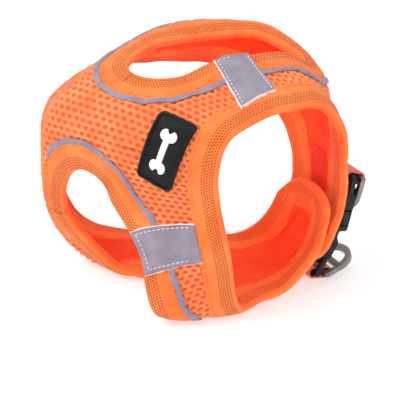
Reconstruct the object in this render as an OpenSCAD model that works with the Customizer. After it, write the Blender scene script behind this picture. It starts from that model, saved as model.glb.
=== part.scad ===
// Step-in vest harness for a small dog: mesh shell with two leg holes, a hook-and-loop
// overlap on the back, a contoured side-release buckle and two cast D-rings.
// Millimetres. +X points to the neck opening, +Y to the dog's back, +Z up, floor at z = 0.

/* [Bindings] */
// width of the knitted binding tape seen on each face
binding_w = 12.6; // [9:0.2:14]
// total thickness of a bound edge
binding_t = 4.6; // [3.6:0.1:5]
// thickness of the bound edge at its fold
fold_t = 1.6; // [1:0.1:2.4]

/* [Shell] */
// thickness of the outer air mesh
mesh_t = 1.7; // [1.2:0.1:1.9]
// thickness of the padded lining
lining_t = 1.7; // [1.2:0.1:1.9]
// gap left between neighbouring soft pieces
gap = 0.3; // [0.2:0.05:0.6]

/* [Trim] */
// width of the piping beside each leg binding
piping_w = 2.8; // [2:0.1:3.4]
// height of the piping above the binding
piping_h = 1.1; // [0.8:0.1:1.6]
// thickness of the side patches
patch_t = 0.6; // [0.4:0.1:1]
// thickness of the rubber label
label_t = 2; // [0.8:0.1:2.4]
// height of the emblem above the label
emblem_h = 0.5; // [0.3:0.1:0.8]

/* [Closure] */
// thickness of the hook and of the loop patch
fastener_t = 0.9; // [0.8:0.1:1]

/* [Webbing] */
// width of the webbing loops
webbing_w = 14.4; // [12:0.2:14.6]
// thickness of the webbing
webbing_t = 1; // [0.8:0.1:1.1]

/* [D-rings] */
// width of a ring
ring_w = 20; // [18:0.5:22]
// thickness of a ring
ring_t = 2.4; // [2:0.1:2.4]
// outer radius of the round end
ring_r = 10; // [9:0.5:11]
// radius of the eye
eye_r = 7.2; // [6:0.2:7.6]

/* [Buckle] */
// width of the buckle
buckle_w = 21; // [20:0.5:24]
// thickness of the socket half
buckle_t = 6; // [5:0.2:6.4]
// length of the socket half from the bend
socket_l = 28; // [26:0.5:30]
// length of the plug half from the bend
plug_l = 23; // [20:0.5:24]
// thickness of the plug half
plug_t = 3.8; // [3.4:0.1:4.2]
// travel of a release arm at its root, degrees
arm_travel = 6; // [4:0.5:7]

/* [Hidden] */
$fn = 48;

// Guide points of the shell's middle surface, from the inner flap's end round the chest to
// the outer end: neck rim, strap's leg edge, girth band's leg edge, crest, rear rim.
guide = [
  [[48.5,29.5,53.5], [41.5,33.5,54.5], [33.5,36.5,54.5], [25.5,38.5,54.5], [17.5,39.5,53.5]],
  [[48.5,32.5,38.5], [40.5,37.5,38.5], [32.5,40.5,38.5], [24.5,42.5,38.5], [14.5,43.5,36.5]],
  [[45.5,29.5,19.5], [36.5,35.5,17.5], [26.5,39.5,16.5], [16.5,41.5,16.5], [4.5,41.5,17.5]],
  [[40.5,18,5.5], [26.5,25,4], [10.5,32,4], [-2.5,37,4], [-13.5,40,4.5]],
  [[36,6,2.5], [12,-4,2.5], [-8,16,2.5], [-20,24,2.5], [-36,31,2.5]],
  [[33,-9,4], [9,-34,4], [-18,-10,2.5], [-32,-2,2.5], [-54,14,3]],
  [[36,-20,34], [0,-36,31], [-40,-18,6], [-50,-16,4], [-66,0,10]],
  [[33,-23,55], [-14,-37,53], [-50,-31,31], [-60,-29,28], [-67,-14,28]],
  [[34,-26,72], [-6,-38,76], [-43,-40,68], [-53,-38,65], [-67,-24,60]],
  [[37,-22,87], [0,-28,94], [-37,-33,92], [-52,-28,86], [-66,-18,79]],
  [[42,-8,93], [6,-3,104], [-26,-4,106], [-40,0,102], [-58,8,89]],
  [[46,5,94], [12,14,106], [-15,20,107], [-27,26,109], [-46,34,88]],
  [[51,20,92], [22,34,104], [3,43,106], [-3,51,106], [-22,50,85]],
  [[53.5,31,79.5], [39.5,40,87.5], [30.5,47,93.5], [18.5,53,91.5], [0.5,52,73.5]],
  [[53,36.5,61.5], [45,41.8,63.5], [35.5,45.5,64.5], [25.5,48.5,64.5], [14.5,48.5,61.5]],
  [[50.7,41.6,41.5], [43,45.8,41.5], [34.5,48.5,41.5], [25.5,50.5,42.5], [16.5,50.5,43.5]],
  [[46.3,38.5,21.3], [38.8,43.5,20.5], [30.7,45.9,19.5], [21.7,47.9,19.5], [12.7,48.9,21.5]],
  [[39.4,33.9,7.2], [32.5,37,6.5], [25,39.4,6.5], [18,41.7,6.5], [9,43.7,8.5]]
];
columns = [for (g = [0:4]) [for (row = guide) row[g]]];

// Leg hole outlines as (station, guide) pairs, counter-clockwise.
hole_upper = [[9.47,1.5], [9.5,1.2], [9.75,1.03], [10.3,1], [11,0.97], [11.7,0.97], [12.3,1.15],
  [12.5,1.5], [12.4,1.8], [11.8,2], [11,2.05], [10.4,2], [10,1.93], [9.65,1.78]];
hole_lower = [[7,1.9], [6.1,1.8], [5.3,1.95], [4.6,1.75], [4.2,1.5], [4.4,1.25], [5,1.07],
  [5.9,1], [6.6,1], [7.25,1.1], [7.6,1.45], [7.48,1.75]];

// Catmull-Rom through the points of a list, x counts points.
function spline(p0, p1, p2, p3, f) =
  0.5 * (2 * p1 + (p2 - p0) * f + (2 * p0 - 5 * p1 + 4 * p2 - p3) * f * f
  + (3 * p1 - p0 - 3 * p2 + p3) * f * f * f);
function along(P, x) =
  let (n = len(P) - 1, c = min(max(x, 0), n), i = min(floor(c), n - 1),
    p1 = P[i], p2 = P[i + 1],
    p0 = i > 0 ? P[i - 1] : 2 * p1 - p2,
    p3 = i < n - 1 ? P[i + 2] : 2 * p2 - p1)
  spline(p0, p1, p2, p3, c - i);
function closed(P, x) =
  let (n = len(P), i = floor(x))
  spline(P[(i + n - 1) % n], P[i % n], P[(i + 1) % n], P[(i + 2) % n], x - i);

// Point of the middle surface, its two tangents and its outward normal.
home = [6.6, -12.6, 2.2];
function S(t, s) = home + along([for (c = columns) along(c, t)], s);
function St(t, s) = (S(t + 0.02, s) - S(t - 0.02, s)) / (min(t + 0.02, 17) - max(t - 0.02, 0));
function Ss(t, s) = (S(t, s + 0.02) - S(t, s - 0.02)) / (min(s + 0.02, 4) - max(s - 0.02, 0));
function unit(v) = v / norm(v);
function normal(t, s) = unit(cross(St(t, s), Ss(t, s)));

// Stations where the bound ends of the flap and of the outer wing meet the shell.
flap_in = 1.3;
outer_in = 16.15;

// Walk w millimetres from a hole's edge into the fabric, in k straight steps.
function step(q, m, w) =
  let (a = St(q[0], q[1]), b = Ss(q[0], q[1]), E = a * a, F = a * b, G = b * b,
    u = m * a, v = m * b, D = E * G - F * F,
    d = [(u * G - v * F) / D, (v * E - u * F) / D], r = norm(d[0] * a + d[1] * b))
  q + d * w / r;
function walk(q, m, w, k) = k == 0 ? q : walk(step(q, m, w), m, w, k - 1);
function outward(O, x) =
  let (q = closed(O, x), p = closed(O, x + 0.05), a = S(q[0], q[1]), b = S(p[0], p[1]))
  cross(unit(b - a), normal(q[0], q[1]));
function ring_pt(O, x, w) = w == 0 ? closed(O, x) : walk(closed(O, x), outward(O, x), w / 4, 4);

// Walk w millimetres inward from the neck rim (side 0) or from the rear rim (side 4).
// Near the two bound ends the walk keeps to its own station.
function inward(t, side) =
  let (a = unit(St(t, side)), b = Ss(t, side)) unit(b - (a * b) * a) * (side == 0 ? 1 : -1);
function ramp(t) = min(1, max(0, min(t - flap_in, outer_in - t) / 0.7));
function rim_pt(t, side, w) =
  let (q = [t, side], p = w == 0 ? q : walk(q, inward(t, side), w / 4, 4))
  [t + (p[0] - t) * ramp(t), p[1]];

// Half thickness of a bound edge, w from its fold.
function half(w) =
  w < 1.5 ? fold_t / 2 + (binding_t / 2 - 0.3 - fold_t / 2) * w / 1.5
  : w < 3 ? binding_t / 2 - 0.3 + 0.3 * (w - 1.5) / 1.5 : binding_t / 2;
tape = [0, 1.5, 3, binding_w / 2 + 1, binding_w];

// Closed sheet over a grid of [station, guide, low offset, high offset].
module slab(grid, wrap = false) {
  na = len(grid);
  nb = len(grid[0]);
  ends = [for (col = grid) for (q = col)
    let (b = S(q[0], q[1]), n = normal(q[0], q[1])) [b + q[2] * n, b + q[3] * n]];
  pts = concat([for (p = ends) p[0]], [for (p = ends) p[1]]);
  K = na * nb;
  last = wrap ? na - 1 : na - 2;
  function lo(i, j) = (i % na) * nb + j;
  function hi(i, j) = K + (i % na) * nb + j;
  faces = concat(
    [for (i = [0:last], j = [0:nb - 2]) [hi(i, j), hi(i, j + 1), hi(i + 1, j + 1)]],
    [for (i = [0:last], j = [0:nb - 2]) [hi(i, j), hi(i + 1, j + 1), hi(i + 1, j)]],
    [for (i = [0:last], j = [0:nb - 2]) [lo(i, j), lo(i + 1, j), lo(i + 1, j + 1)]],
    [for (i = [0:last], j = [0:nb - 2]) [lo(i, j), lo(i + 1, j + 1), lo(i, j + 1)]],
    [for (i = [0:last]) [hi(i, 0), hi(i + 1, 0), lo(i + 1, 0)]],
    [for (i = [0:last]) [hi(i, 0), lo(i + 1, 0), lo(i, 0)]],
    [for (i = [0:last]) [hi(i + 1, nb - 1), hi(i, nb - 1), lo(i, nb - 1)]],
    [for (i = [0:last]) [hi(i + 1, nb - 1), lo(i, nb - 1), lo(i + 1, nb - 1)]],
    wrap ? [] : [for (j = [0:nb - 2]) [hi(0, j + 1), hi(0, j), lo(0, j)]],
    wrap ? [] : [for (j = [0:nb - 2]) [hi(0, j + 1), lo(0, j), lo(0, j + 1)]],
    wrap ? [] : [for (j = [0:nb - 2]) [hi(na - 1, j), hi(na - 1, j + 1), lo(na - 1, j + 1)]],
    wrap ? [] : [for (j = [0:nb - 2]) [hi(na - 1, j), lo(na - 1, j + 1), lo(na - 1, j)]]);
  polyhedron(points = pts, faces = faces, convexity = 10);
}

function evenly(a, b, n) = [for (i = [0:n]) a + (b - a) * i / n];

// Edge of the leg rings that the mesh panels meet.
ring_w2 = binding_w + gap;
edge_upper = [for (i = [0:111]) ring_pt(hole_upper, i / 8, ring_w2)];
edge_lower = [for (i = [0:95]) ring_pt(hole_lower, i / 8, ring_w2)];
function tip(P, sign) =
  let (m = max([for (p = P) sign * p[0]])) [for (p = P) if (sign * p[0] == m) p][0];
lo_a = tip(edge_lower, -1);
lo_b = tip(edge_lower, 1);
up_a = tip(edge_upper, -1);
up_b = tip(edge_upper, 1);
function crossing(P, t, n) =
  [for (i = [0:n - 1]) let (p = P[i], q = P[(i + 1) % len(P)])
    if ((p[0] - t) * (q[0] - t) <= 0 && p[0] != q[0])
      p[1] + (q[1] - p[1]) * (t - p[0]) / (q[0] - p[0])];
rim_t = evenly(flap_in, outer_in, 66);
edge_neck = [for (t = rim_t) rim_pt(t, 0, ring_w2)];
edge_rear = [for (t = rim_t) rim_pt(t, 4, ring_w2)];
function from_neck(t) = max(crossing(edge_neck, t, 66));
function from_rear(t) = min(crossing(edge_rear, t, 66));
function seam(t) =
  t <= lo_a[0] ? 2 + (lo_a[1] - 2) * (t - flap_in) / (lo_a[0] - flap_in)
  : t >= up_b[0] ? up_b[1] + (1.9 - up_b[1]) * (t - up_b[0]) / (outer_in - up_b[0])
  : lo_b[1] + (up_a[1] - lo_b[1]) * (t - lo_b[0]) / (up_a[0] - lo_b[0]);
function inside(a, b, t) = t > a[0] + 0.001 && t < b[0] - 0.001;
function strap_edge(t) =
  inside(lo_a, lo_b, t) ? min(crossing(edge_lower, t, 96))
  : inside(up_a, up_b, t) ? min(crossing(edge_upper, t, 112)) : seam(t);
function girth_edge(t) =
  inside(lo_a, lo_b, t) ? max(crossing(edge_lower, t, 96))
  : inside(up_a, up_b, t) ? max(crossing(edge_upper, t, 112)) : seam(t);

// Stations where the chest panel meets the two wings, and where the wings meet the flap and
// the back panel.
split_flap = 3.6;
split_lower = 6.1;
split_upper = 10.6;
split_back = 13.6;
function eased(a, b, n) = [for (i = [0:n]) a + (b - a) * (1 - cos(180 * i / n)) / 2];
function part_of(L, a, b) = [for (t = L) if (t > a + 0.01 && t < b - 0.01) t];
all_t = concat(evenly(flap_in, lo_a[0], 10), part_of(eased(lo_a[0], lo_b[0], 36), lo_a[0], lo_b[0]),
  evenly(lo_b[0], up_a[0], 5), part_of(eased(up_a[0], up_b[0], 30), up_a[0], up_b[0]),
  evenly(up_b[0], outer_in, 13));
function stations(a, b) = concat([a], part_of(all_t, a, b), [b]);
module layer(a, b, low, high) {
  T = [for (t = stations(a, b)) t];
  for (side = [0, 1]) {
    slab([for (t = T)
      let (p = side == 0 ? from_neck(t) : girth_edge(t),
        q = side == 0 ? strap_edge(t) : from_rear(t))
      [for (k = [0:4]) [t, p + (q - p) * k / 4, low, high]]]);
  }
}
mesh_lo = gap / 2;

module mesh_chest() {
  color([1, 0.45, 0.2]) layer(split_lower + 0.01, split_upper - 0.01, mesh_lo, mesh_lo + mesh_t);
}
module mesh_wing_upper() {
  color([1, 0.5, 0.25]) layer(split_upper, split_back - 0.01, mesh_lo, mesh_lo + mesh_t);
}
module mesh_back_upper() {
  color([1, 0.48, 0.22]) layer(split_back, outer_in, mesh_lo, mesh_lo + mesh_t);
}
module mesh_wing_lower() {
  color([1, 0.5, 0.25]) layer(split_flap + 0.01, split_lower, mesh_lo, mesh_lo + mesh_t);
}
module mesh_flap() {
  color([1, 0.48, 0.22]) layer(flap_in, split_flap, mesh_lo, mesh_lo + mesh_t);
}
module lining() {
  color([1, 0.25, 0.1]) layer(flap_in, outer_in, -mesh_lo - lining_t, -mesh_lo);
}

// Bindings along the neck rim and the rear rim.
module neck_binding() {
  color([1, 0.48, 0.2])
    slab([for (t = rim_t) [for (w = tape) let (q = rim_pt(t, 0, w)) [q[0], q[1], -half(w), half(w)]]]);
}
module rear_binding() {
  color([1, 0.48, 0.2])
    slab([for (t = rim_t) [for (i = [4:-1:0])
      let (w = tape[i], q = rim_pt(t, 4, w)) [q[0], q[1], -half(w), half(w)]]]);
}

// Bindings round the leg holes.
module leg_ring(O, n) {
  slab([for (x = [0:n * 4 - 1]) [for (i = [4:-1:0])
    let (q = ring_pt(O, x / 4, tape[i])) [q[0], q[1], -half(tape[i]), half(tape[i])]]], true);
}
module leg_binding_upper() {
  color([1, 0.48, 0.2]) leg_ring(hole_upper, 14);
}
module leg_binding_lower() {
  color([1, 0.48, 0.2]) leg_ring(hole_lower, 12);
}

// Bound ends with round corners, r the corner radius at each side.
end_l = 0.78;
function corner(d, r) = d >= r ? 1 : sqrt(1 - (1 - d / r) * (1 - d / r));
function pull(s, rn, rr) = 0.06 + 0.94 * min(corner(s * 9.3, rn), corner((4 - s) * 9.3, rr));
end_s = concat([0, 0.08, 0.2, 0.4, 0.7, 1.1], evenly(1.6, 2.4, 2), [2.9, 3.3, 3.6, 3.8, 3.92, 4]);
module bound_end(t_in, dir, rn, rr) {
  slab([for (f = dir < 0 ? [1, 0.9, 0.78, 0.4, 0] : [0, 0.4, 0.78, 0.9, 1])
    [for (s = end_s)
      let (w = min((1 - f) * binding_w * pull(s, rn, rr), s * 9.3, (4 - s) * 9.3), h = half(w))
      [t_in + dir * end_l * f * pull(s, rn, rr), s, -h, h]]]);
}
module flap_end_binding() {
  color([1, 0.48, 0.2]) bound_end(flap_in - 0.025, -1, 17, 17);
}
module outer_end_binding() {
  color([1, 0.48, 0.2]) bound_end(outer_in + 0.025, 1, 10, 10);
}

// Piping along the outer edge of each leg binding, open where the side patch covers it. The
// lower leg hole has one run above its patch and one below it, and none towards the tail.
module piping_run(O, a, b) {
  n = round((b - a) * 7);
  base = binding_t / 2 + gap;
  slab([for (i = [0:n]) let (x = a + (b - a) * i / n)
    [for (k = [0:4])
      let (q = ring_pt(O, x, binding_w + 1 + piping_w * (0.5 - k / 4)))
      [q[0], q[1], base, base + 0.3 + (piping_h - 0.3) * sin(45 * k)]]]);
}
module piping_upper() {
  color([0.6, 0.55, 0.65]) piping_run(hole_upper, 4.35, 16.35);
}
module piping_lower() {
  color([0.6, 0.55, 0.65]) piping_run(hole_lower, 8.2, 10.7);
}
module piping_girth() {
  color([0.6, 0.55, 0.65]) piping_run(hole_lower, 4.9, 6.75);
}

// Patches: four corners as (station, guide), u along the station side, v along the guide side.
function quad(C, u, v) = (1 - u) * ((1 - v) * C[0] + v * C[1]) + u * ((1 - v) * C[3] + v * C[2]);
function round_end(u, r) = u < r ? r - sqrt(max(0, r * r - (r - u) * (r - u))) : u > 1 - r
  ? r - sqrt(max(0, r * r - (u - 1 + r) * (u - 1 + r))) : 0;
module patch(C, nu, nv, low, high) {
  slab([for (u = evenly(0, 1, nu)) [for (v = evenly(0, 1, nv))
    let (q = quad(C, u, v)) [q[0], q[1], low, high]]]);
}
corners_upper = [[9.75,0.2], [10.25,0.97], [11.15,0.95], [10.95,0.25]];
corners_lower = [[5.9,0.3], [5.65,0.95], [6.35,0.95], [6.65,0.25]];
patch_lo = binding_t / 2 + 0.1;
module patch_upper() {
  color([0.62, 0.58, 0.68]) patch(corners_upper, 8, 8, patch_lo, patch_lo + patch_t);
}
module patch_lower() {
  color([0.62, 0.58, 0.68]) patch(corners_lower, 8, 8, patch_lo, patch_lo + patch_t);
}
// Running stitches near each patch's edge, as small raised bars.
module stitch_side(C, n, fixed, along_u) {
  for (i = [0:n - 1]) {
    a = 0.1 + 0.8 * (i + 0.15) / n;
    b = 0.1 + 0.8 * (i + 0.8) / n;
    e = along_u ? 0.012 : 0.016;
    slab([for (u = along_u ? [a, b] : [fixed - e, fixed + e])
      [for (v = along_u ? [fixed - e, fixed + e] : [a, b])
        let (q = quad(C, u, v)) [q[0], q[1], patch_lo + patch_t + 0.02, patch_lo + patch_t + 0.4]]]);
  }
}
module stitches(C) {
  stitch_side(C, 7, 0.07, true);
  stitch_side(C, 7, 0.93, true);
  stitch_side(C, 5, 0.09, false);
  stitch_side(C, 5, 0.91, false);
}
module patch_stitching() {
  color([0.95, 0.93, 0.92]) {
    stitches(corners_upper);
    stitches(corners_lower);
  }
}

// Rubber label on the chest, v across its width and u along its length.
corners_label = [[7.65,0.75], [7.35,0.4], [8.95,0.35], [8.95,0.8]];
corners_label_ccw = [corners_label[1], corners_label[0], corners_label[3], corners_label[2]];
label_lo = mesh_lo + mesh_t + gap;
module label_shape(k, low, high) {
  slab([for (u = [0, 0.02, 0.06, 0.12, 0.25, 0.5, 0.75, 0.88, 0.94, 0.98, 1])
    let (e = round_end(u, 0.12) * 1.3)
    [for (v = evenly(e, 1 - e, 6))
      let (q = quad(corners_label_ccw, 0.5 + k * (u - 0.5), 0.5 + k * (v - 0.5)))
      [q[0], q[1], low, high]]]);
}
module rubber_label() {
  color([0.12, 0.12, 0.13]) label_shape(1, label_lo, label_lo + label_t);
}
// Bone emblem: a bar with a round knob at each end.
function bone(e) = let (d = (abs(e) - 0.8) / 0.2)
  0.09 + (abs(d) < 1 ? 0.15 * sqrt(1 - d * d) : 0);
module label_emblem() {
  color([0.95, 0.95, 0.95])
    slab([for (e = [-1, -0.97, -0.9, -0.8, -0.7, -0.63, -0.6, -0.3, 0, 0.3, 0.6, 0.63, 0.7,
      0.8, 0.9, 0.97, 1]) [for (v = evenly(0.5 - bone(e), 0.5 + bone(e), 4))
        let (q = quad(corners_label_ccw, 0.5 + 0.31 * e, v))
        [q[0], q[1], label_lo + label_t + 0.03, label_lo + label_t + 0.03 + emblem_h]]]);
}

// Hook patch inside the outer end, loop patch outside the flap.
module hook_patch() {
  color([0.95, 0.4, 0.2])
    patch([[14.1,1.5], [14.1,2.6], [16,2.6], [16,1.5]], 8, 4,
      -mesh_lo - lining_t - 0.15 - fastener_t, -mesh_lo - lining_t - 0.15);
}
module loop_patch() {
  color([1, 0.45, 0.25])
    patch([[1.4,1.5], [1.4,2.6], [1.8,2.6], [1.8,1.5]], 4, 4,
      mesh_lo + mesh_t + 0.15, mesh_lo + mesh_t + 0.15 + fastener_t);
}

// Buckle frame: origin at the bend, X across to the neck side, Y outward, Z up the panel.
bend_at = [35.7, 52.4, 20.5];
socket_tilt = -14;
plug_tilt = -31;
module at_bend(tilt) {
  translate(home + bend_at) rotate([0, 0, -23]) rotate([tilt, 0, 0]) children();
}
module rounded(w, h, r) {
  square([w - 2 * r, h], center = true);
  square([w, h - 2 * r], center = true);
  for (x = [-1, 1], y = [-1, 1]) translate([x * (w / 2 - r), y * (h / 2 - r)]) circle(r);
}
// Plate in the X-Z plane, t thick in Y.
module plate(t) {
  rotate([90, 0, 0]) linear_extrude(height = t, center = true) children();
}
bar_w = 2.8;
bar_t = 2.4;
bar_up = socket_l - bar_w / 2;
bar_dn = plug_l - bar_w / 2;
slot_w = 16;
slot_h = 3.8;
body_top = socket_l - bar_w - slot_h - 1.6;
mouth = 0.8;
window_a = 4;
window_b = 12;
module end_plate(t, edge, sign) {
  h = bar_w + slot_h + 4;
  plate(t) translate([0, sign * (edge - h / 2)]) difference() {
    rounded(buckle_w - 1, h, 2);
    translate([0, sign * (h / 2 - bar_w - slot_h / 2)]) rounded(slot_w, slot_h, 1);
  }
}
module buckle_female() {
  color([0.1, 0.1, 0.11]) at_bend(socket_tilt) {
    difference() {
      union() {
        plate(buckle_t) translate([0, (mouth + body_top) / 2])
          rounded(buckle_w, body_top - mouth, 2.5);
        end_plate(bar_t, socket_l, 1);
      }
      plate(3.8) translate([0, mouth - 1 + 8]) square([17.2, 18], center = true);
      plate(3.8) translate([0, (window_a + window_b) / 2])
        square([buckle_w + 2, window_b - window_a], center = true);
      plate(3.8) translate([0, mouth + 1]) square([14, 4], center = true);
    }
  }
}
arm_x = 6.4;
arm_z = -4.2;
arm_pin = 1.3;
module buckle_male() {
  color([0.1, 0.1, 0.11]) {
    difference() {
      union() {
        at_bend(plug_tilt) {
          plate(plug_t) translate([0, -8]) rounded(buckle_w - 1, 10, 2);
          end_plate(bar_t, plug_l, -1);
        }
        at_bend(socket_tilt) plate(2.2) translate([0, 3]) rounded(4.4, 20, 1.5);
      }
      at_bend(socket_tilt) for (x = [-1, 1]) translate([x * arm_x, 0, arm_z]) {
        rotate([90, 0, 0]) cylinder(r = arm_pin + 0.08, h = 12, center = true);
        translate([0, 0, 2.6]) cube([4, 12, 4.4], center = true);
      }
    }
  }
}
module release_arm(side) {
  at_bend(socket_tilt) {
    translate([side * arm_x, 0, arm_z]) rotate([90, 0, 0]) cylinder(r = arm_pin, h = 3, center = true);
    plate(3) translate([side * arm_x, (arm_z + 0.6) / 2]) square([1.2, -arm_z + 0.6], center = true);
    plate(3) translate([side * arm_x, 5.6]) rounded(2.4, 12.6, 0.8);
    plate(3.2) translate([side * 9, 8]) rounded(4.6, 6.8, 1.2);
  }
}
module release_arm_left() {
  color([0.16, 0.16, 0.17]) release_arm(-1);
}
module release_arm_right() {
  color([0.16, 0.16, 0.17]) release_arm(1);
}

// Webbing: a loop round the end bar and the ring's bar, and a tab sewn under the buckle.
loop_r = 2;
ring_up = [5, bar_up - 0.5];
ring_dn = [6.2, -bar_dn + 2.4];
// Outline round two bar centres, in the Y-Z plane.
module stadium(a, b, r) {
  d = b - a;
  translate(a) circle(r);
  translate(b) circle(r);
  translate((a + b) / 2) rotate(atan2(d[1], d[0])) square([norm(d), 2 * r], center = true);
}
// Profile drawn in Y (first axis) and Z, extruded along X.
module across_x(w) {
  rotate([90, 0, 90]) linear_extrude(height = w, center = true) children();
}
module web_loop(a, b, tail) {
  across_x(webbing_w) difference() {
    union() {
      stadium(a, b, loop_r + webbing_t);
      polygon(tail);
    }
    stadium(a, b, loop_r);
  }
}
module webbing_upper() {
  color([0.95, 0.4, 0.3]) {
    at_bend(socket_tilt) web_loop([0, bar_up], ring_up,
      [[-2.2,24.2], [-3.6,20.6], [-4.2,14.6], [-5.2,14.6], [-4.8,21], [-3,26]]);
    patch([[14.9,0.9], [14.9,2.7], [15.45,2.7], [15.45,0.9]], 5, 4, patch_lo, patch_lo + webbing_t);
  }
}
module webbing_lower() {
  color([0.95, 0.4, 0.3]) {
    at_bend(plug_tilt) web_loop([0, -bar_dn], ring_dn,
      [[-2.5,-20], [-2.2,-19.2], [-2.3,-15], [-3.7,-15], [-3.1,-20.8]]);
    patch([[16.25,1], [16.25,2.6], [16.75,2.6], [16.75,1]], 5, 4, patch_lo, patch_lo + webbing_t);
  }
}

// Cast ring: bar, webbing slot, cross bar and D-shaped eye. Origin at the bar's centre,
// the eye towards +Z, the plate's thickness in Y.
module d_ring() {
  plate(ring_t) difference() {
    union() {
      intersection() {
        translate([0, 7]) circle(ring_r);
        translate([0, 12]) square([30, 16], center = true);
      }
      translate([0, 3]) rounded(ring_w, 8.8, 1.4);
      translate([0, 5.5]) square([ring_w, 3], center = true);
    }
    translate([0, 3.2]) rounded(15.6, 3.8, 1);
    difference() {
      translate([0, 7]) circle(eye_r);
      translate([0, 4]) square([30, 7.4], center = true);
    }
  }
}
ring_lower_turn = -72;
module d_ring_upper() {
  color([0.45, 0.45, 0.47]) at_bend(socket_tilt) translate([0, ring_up[0], ring_up[1]])
    rotate([180, 0, 0]) d_ring();
}
module d_ring_lower() {
  color([0.45, 0.45, 0.47]) at_bend(plug_tilt) translate([0, ring_dn[0], ring_dn[1]])
    rotate([ring_lower_turn - plug_tilt, 0, 0]) d_ring();
}

mesh_chest();
mesh_wing_upper();
mesh_back_upper();
mesh_wing_lower();
mesh_flap();
lining();
neck_binding();
rear_binding();
leg_binding_upper();
leg_binding_lower();
flap_end_binding();
outer_end_binding();
piping_upper();
piping_lower();
piping_girth();
patch_upper();
patch_lower();
patch_stitching();
rubber_label();
label_emblem();
hook_patch();
loop_patch();
webbing_upper();
webbing_lower();
d_ring_upper();
d_ring_lower();
buckle_female();
buckle_male();
release_arm_left();
release_arm_right();
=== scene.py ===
"""Small-dog step-in vest harness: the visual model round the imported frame.
Surface coordinates are (station, guide): stations run from the inner flap's end round the
chest to the outer end, guides from the neck rim (0) to the rear rim (4). Lengths in the
shape code are millimetres; piece() turns them into metres."""
import math

import bmesh
import bpy
import numpy as np
from mathutils import Matrix, Vector


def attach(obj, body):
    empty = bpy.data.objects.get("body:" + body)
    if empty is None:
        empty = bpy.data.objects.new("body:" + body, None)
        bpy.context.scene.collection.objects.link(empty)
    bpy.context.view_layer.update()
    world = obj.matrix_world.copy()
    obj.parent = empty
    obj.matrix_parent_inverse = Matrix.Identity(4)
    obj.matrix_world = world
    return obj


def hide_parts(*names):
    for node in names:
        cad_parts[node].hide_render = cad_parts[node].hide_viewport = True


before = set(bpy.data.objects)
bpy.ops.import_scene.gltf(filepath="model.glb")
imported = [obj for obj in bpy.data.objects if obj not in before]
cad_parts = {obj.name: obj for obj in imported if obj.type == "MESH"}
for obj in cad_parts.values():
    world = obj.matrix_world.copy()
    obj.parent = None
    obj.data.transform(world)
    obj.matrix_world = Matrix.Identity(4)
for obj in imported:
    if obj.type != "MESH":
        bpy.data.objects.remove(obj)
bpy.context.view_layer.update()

MM = 0.001
TAU = 2 * math.pi
UV_SCALE = 100         # millimetres in one unit of uv
LAST_T, LAST_S = 17, 4  # last station, and the guide along the rear rim
HOME = np.array([6.6, -12.6, 2.2])

# Guide points of the shell's middle surface, one row a station: neck rim, strap's leg edge,
# girth band's leg edge, crest, rear rim.
GUIDE = np.array([
  [[48.5,29.5,53.5], [41.5,33.5,54.5], [33.5,36.5,54.5], [25.5,38.5,54.5], [17.5,39.5,53.5]],
  [[48.5,32.5,38.5], [40.5,37.5,38.5], [32.5,40.5,38.5], [24.5,42.5,38.5], [14.5,43.5,36.5]],
  [[45.5,29.5,19.5], [36.5,35.5,17.5], [26.5,39.5,16.5], [16.5,41.5,16.5], [4.5,41.5,17.5]],
  [[40.5,18,5.5], [26.5,25,4], [10.5,32,4], [-2.5,37,4], [-13.5,40,4.5]],
  [[36,6,2.5], [12,-4,2.5], [-8,16,2.5], [-20,24,2.5], [-36,31,2.5]],
  [[33,-9,4], [9,-34,4], [-18,-10,2.5], [-32,-2,2.5], [-54,14,3]],
  [[36,-20,34], [0,-36,31], [-40,-18,6], [-50,-16,4], [-66,0,10]],
  [[33,-23,55], [-14,-37,53], [-50,-31,31], [-60,-29,28], [-67,-14,28]],
  [[34,-26,72], [-6,-38,76], [-43,-40,68], [-53,-38,65], [-67,-24,60]],
  [[37,-22,87], [0,-28,94], [-37,-33,92], [-52,-28,86], [-66,-18,79]],
  [[42,-8,93], [6,-3,104], [-26,-4,106], [-40,0,102], [-58,8,89]],
  [[46,5,94], [12,14,106], [-15,20,107], [-27,26,109], [-46,34,88]],
  [[51,20,92], [22,34,104], [3,43,106], [-3,51,106], [-22,50,85]],
  [[53.5,31,79.5], [39.5,40,87.5], [30.5,47,93.5], [18.5,53,91.5], [0.5,52,73.5]],
  [[53,36.5,61.5], [45,41.8,63.5], [35.5,45.5,64.5], [25.5,48.5,64.5], [14.5,48.5,61.5]],
  [[50.7,41.6,41.5], [43,45.8,41.5], [34.5,48.5,41.5], [25.5,50.5,42.5], [16.5,50.5,43.5]],
  [[46.3,38.5,21.3], [38.8,43.5,20.5], [30.7,45.9,19.5], [21.7,47.9,19.5], [12.7,48.9,21.5]],
  [[39.4,33.9,7.2], [32.5,37,6.5], [25,39.4,6.5], [18,41.7,6.5], [9,43.7,8.5]],
])

# Leg hole outlines as (station, guide) pairs.
HOLE_UPPER = np.array([[9.47,1.5], [9.5,1.2], [9.75,1.03], [10.3,1], [11,0.97], [11.7,0.97], [12.3,1.15],
  [12.5,1.5], [12.4,1.8], [11.8,2], [11,2.05], [10.4,2], [10,1.93], [9.65,1.78]])
HOLE_LOWER = np.array([[7,1.9], [6.1,1.8], [5.3,1.95], [4.6,1.75], [4.2,1.5], [4.4,1.25], [5,1.07],
  [5.9,1], [6.6,1], [7.25,1.1], [7.6,1.45], [7.48,1.75]])


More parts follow.
